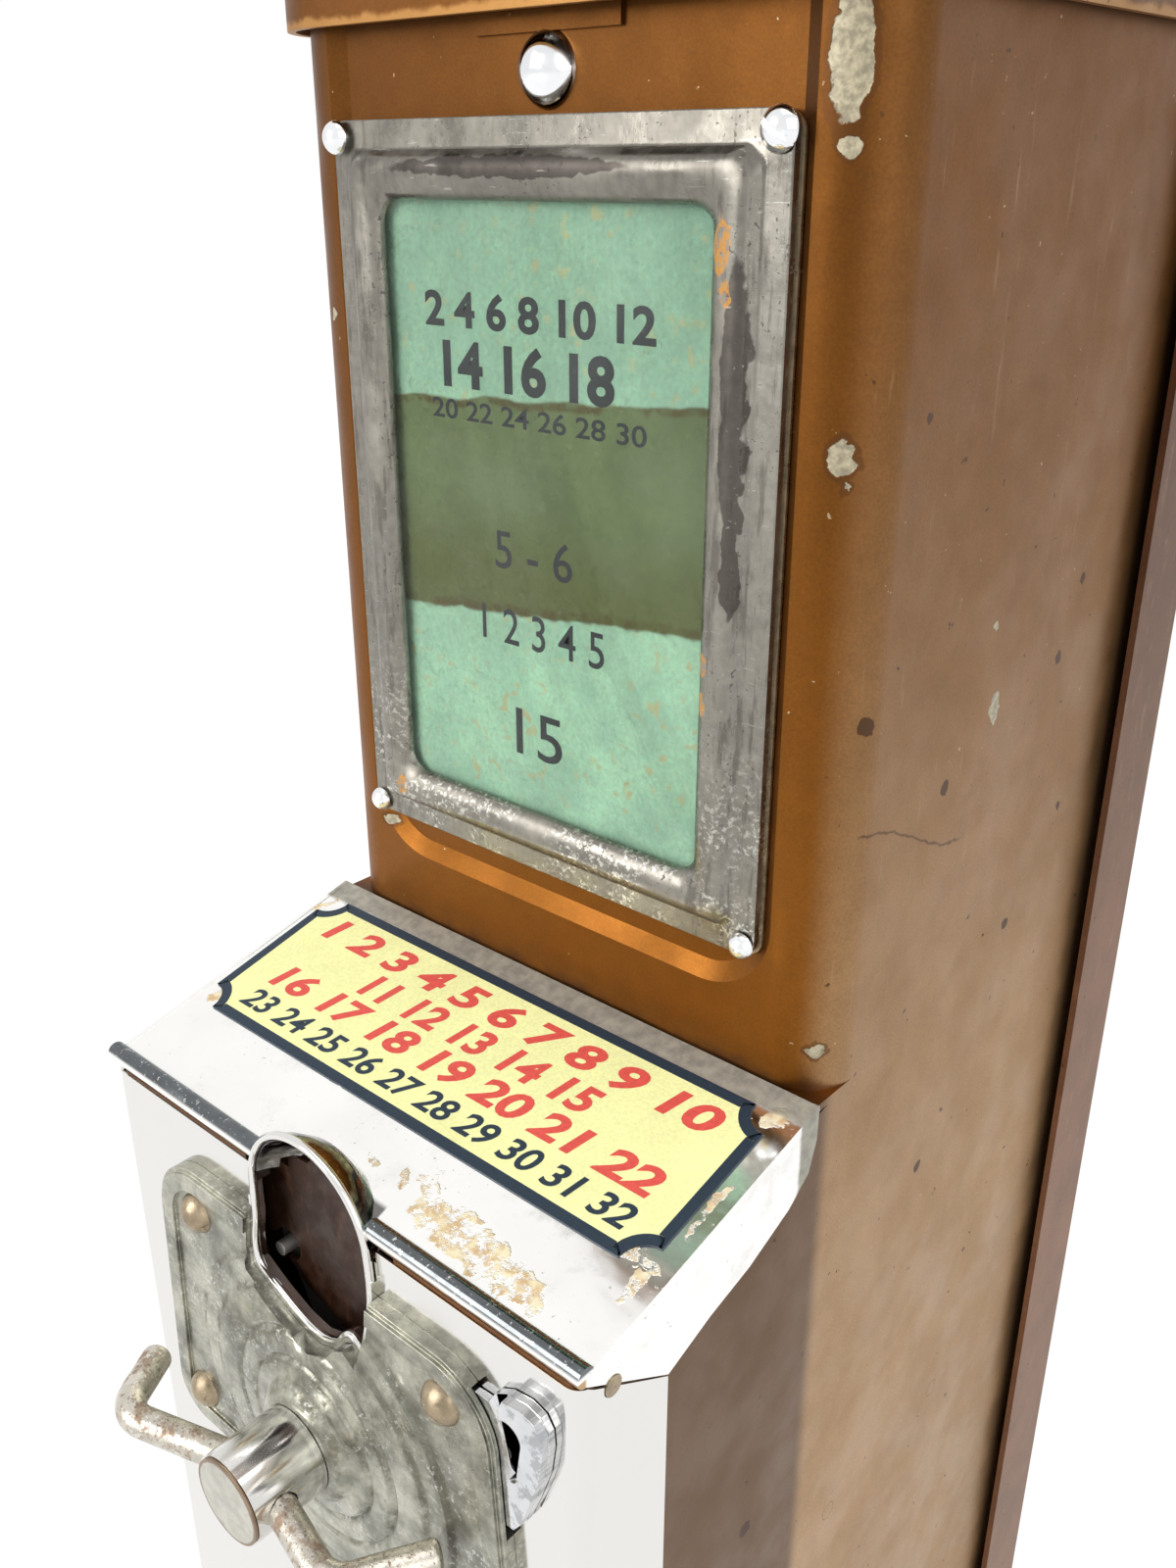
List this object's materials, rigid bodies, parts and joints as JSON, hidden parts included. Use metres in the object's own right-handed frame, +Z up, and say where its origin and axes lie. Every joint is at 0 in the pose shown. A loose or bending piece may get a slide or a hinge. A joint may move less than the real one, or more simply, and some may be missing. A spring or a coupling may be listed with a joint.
{
  "type": "stamp vending machine",
  "caption": "Tall sheet-metal coin-operated stamp vendor with a framed card, a sloping bright hood, a turned handle on a stamped plate and a cash drawer.",
  "frame": {"origin": "on the underside of the base, 101 mm in front of the case's back edge, on the centre line: right under the upper case's front face", "axes": "+X to the machine's right as seen from the front, +Y from front to back, +Z up"},
  "size_m": [0.1064, 0.1828, 0.363],
  "materials": {
    "case_paint": "metallic bronze enamel, worn",
    "bright_steel": "bright rolled sheet with corrosion specks",
    "plate_metal": "stamped plate, worn nickel",
    "nickel_trim": "dull nickel",
    "fixings": "worn plated steel",
    "rivet_brass": "tarnished",
    "brass": "tarnished",
    "rusty_steel": "rust-brown sheet",
    "works_steel": "plain plated steel",
    "rod_steel": "worn chrome over rust",
    "knob_chrome": "worn",
    "glass": "clear pane",
    "card": "printed card behind glass",
    "label": "printed label",
    "stamp_card": "folded card",
    "iron": "dark cast weight"
  },
  "bodies": {
    "case": {"case_shell": "case_paint", "base_plate": "case_paint", "base_rivets": "case_paint", "back_cover": "case_paint", "back_cover_screws": "fixings", "lid_hinge_leaf": "works_steel", "lid_hinge_rivets": "fixings", "lid_hinge_pin": "fixings", "lid_lock_keeper": "works_steel", "front_bolt": "fixings", "front_bolt_nut": "fixings", "window_bezel": "nickel_trim", "window_glass": "glass", "display_card": "card", "backing_sheet": "brass", "bezel_dome_nail": "fixings", "bezel_slotted_screw": "fixings", "bezel_round_screws": "fixings", "hood": "bright_steel", "hood_label": "label", "front_panel": "bright_steel", "flange_rivets": "bright_steel", "escutcheon": "plate_metal", "escutcheon_rivets": "rivet_brass", "shaft_bushing": "brass", "coin_back_plate": "rusty_steel", "back_plate_posts": "works_steel", "coin_chute": "works_steel", "bearing_bridge": "works_steel", "pusher_floor": "works_steel", "floor_rivets": "case_paint", "magazine": "works_steel", "stamp_folders": "stamp_card", "delivery_chute": "works_steel", "drawer_rails": "works_steel"},
    "lid": {"top_lid": "case_paint", "lid_lock_barrel": "nickel_trim"},
    "lid_lock": {"lid_lock_plug": "nickel_trim"},
    "handle": {"drive_shaft": "works_steel", "knob": "knob_chrome", "knob_end_ring": "brass", "handle_rod": "rod_steel", "coin_arm": "rusty_steel", "coin_pin": "works_steel", "shaft_end_collar": "works_steel", "toothed_sector": "works_steel"},
    "pusher": {"pusher_slide": "works_steel", "next_folder": "stamp_card"},
    "release_lever": {"coin_release_lever": "plate_metal"},
    "weight": {"feed_weight": "iron", "weight_handle": "works_steel"},
    "drawer": {"cash_drawer": "works_steel", "drawer_front": "case_paint", "drawer_lock_barrel": "nickel_trim", "drawer_pull": "nickel_trim"},
    "drawer_lock": {"drawer_lock_plug": "nickel_trim"}
  },
  "joints": [
    {"name": "lid_hinge", "type": "hinge", "parent": "case", "child": "lid", "pos_m": [0, 0.10505, 0.3402], "axis": [-1, 0, 0], "range_deg": [0, 100]},
    {"name": "lid_lock_turn", "type": "hinge", "parent": "lid", "child": "lid_lock", "pos_m": [0, 0, 0.353], "axis": [0, -1, 0], "range_deg": [0, 90]},
    {"name": "handle_turn", "type": "hinge", "parent": "case", "child": "handle", "pos_m": [0, -0.06, 0.1515], "axis": [0, -1, 0], "range_deg": [0, 90]},
    {"name": "pusher_travel", "type": "slide", "parent": "case", "child": "pusher", "axis": [1, 0, 0], "range_m": [0, 0.0316]},
    {"name": "release_lever_press", "type": "hinge", "parent": "case", "child": "release_lever", "pos_m": [0.0277, -0.0504, 0.1767], "axis": [0, 1, 0], "range_deg": [0, 10], "stiffness_Nm_per_rad": 0.05, "springref_deg": -11.46},
    {"name": "weight_lift", "type": "slide", "parent": "case", "child": "weight", "axis": [0, 0, 1], "range_m": [0, 0.1]},
    {"name": "drawer_slide", "type": "slide", "parent": "case", "child": "drawer", "axis": [0, 1, 0], "range_m": [0, 0.11]},
    {"name": "drawer_lock_turn", "type": "hinge", "parent": "drawer", "child": "drawer_lock", "pos_m": [0.028, 0.1, 0.027], "axis": [0, 1, 0], "range_deg": [0, 90]}
  ],
  "couplings": [
    {"joint": "pusher_travel", "follows": "handle_turn", "m_per_rad": 0.02}
  ]
}
